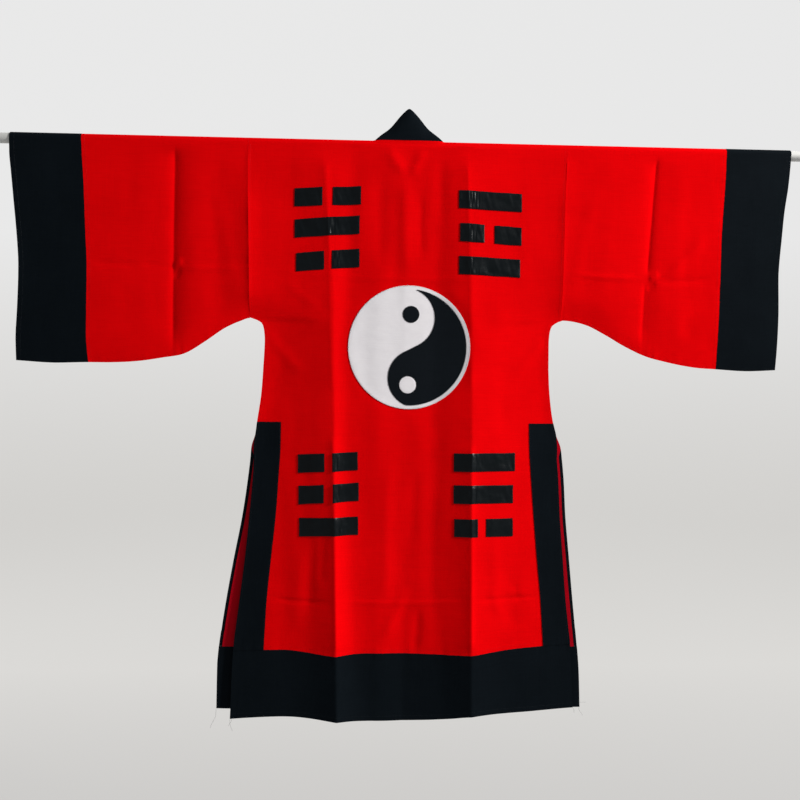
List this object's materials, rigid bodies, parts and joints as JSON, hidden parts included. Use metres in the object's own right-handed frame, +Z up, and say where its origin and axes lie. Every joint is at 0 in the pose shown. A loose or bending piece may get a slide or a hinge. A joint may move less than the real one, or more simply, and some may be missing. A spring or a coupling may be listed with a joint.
{
  "type": "taoist robe on its hanging rod",
  "caption": "Wide-sleeved parallel-front robe seen from its back, with trigram bars, taiji disc, black cuffs, borders and hem, hung by a rod through the sleeves.",
  "frame": {"origin": "on the rod's axis at the robe's middle", "axes": "+X along the rod towards the sleeve on the right as seen from behind, +Z up, -Y out of the robe's back"},
  "size_m": [2, 0.0623, 1.4907],
  "materials": {
    "red_cloth": "plain weave cotton, matt, with fine slubs",
    "black_cloth": "plain weave cotton, matt",
    "black_satin": "satin weave, soft sheen",
    "white_satin": "satin weave, faintly mottled",
    "rod_metal": "light grey paint"
  },
  "bodies": {
    "root": {"back_panel": "red_cloth", "bar_fire_1a": "black_satin", "bar_fire_2a": "black_satin", "bar_fire_2b": "black_satin", "bar_fire_3a": "black_satin", "bar_thunder_1a": "black_satin", "bar_thunder_1b": "black_satin", "bar_thunder_2a": "black_satin", "bar_thunder_2b": "black_satin", "bar_thunder_3a": "black_satin", "bar_water_1a": "black_satin", "bar_water_1b": "black_satin", "bar_water_2a": "black_satin", "bar_water_3a": "black_satin", "bar_water_3b": "black_satin", "bar_wind_1a": "black_satin", "bar_wind_2a": "black_satin", "bar_wind_3a": "black_satin", "bar_wind_3b": "black_satin", "collar_back": "black_cloth", "collar_left": "black_cloth", "collar_right": "black_cloth", "cuff_left_back": "black_cloth", "cuff_left_front": "black_cloth", "cuff_right_back": "black_cloth", "cuff_right_front": "black_cloth", "disc_black": "black_cloth", "disc_white": "white_satin", "dot_black": "black_cloth", "dot_white": "white_satin", "front_left": "red_cloth", "front_right": "red_cloth", "hem_back": "black_cloth", "hem_front_left": "black_cloth", "hem_front_right": "black_cloth", "rod": "rod_metal", "sleeve_left_back": "red_cloth", "sleeve_left_front": "red_cloth", "sleeve_right_back": "red_cloth", "sleeve_right_front": "red_cloth", "slit_back_left": "black_cloth", "slit_back_right": "black_cloth", "slit_front_left": "black_cloth", "slit_front_right": "black_cloth"}
  },
  "joints": []
}
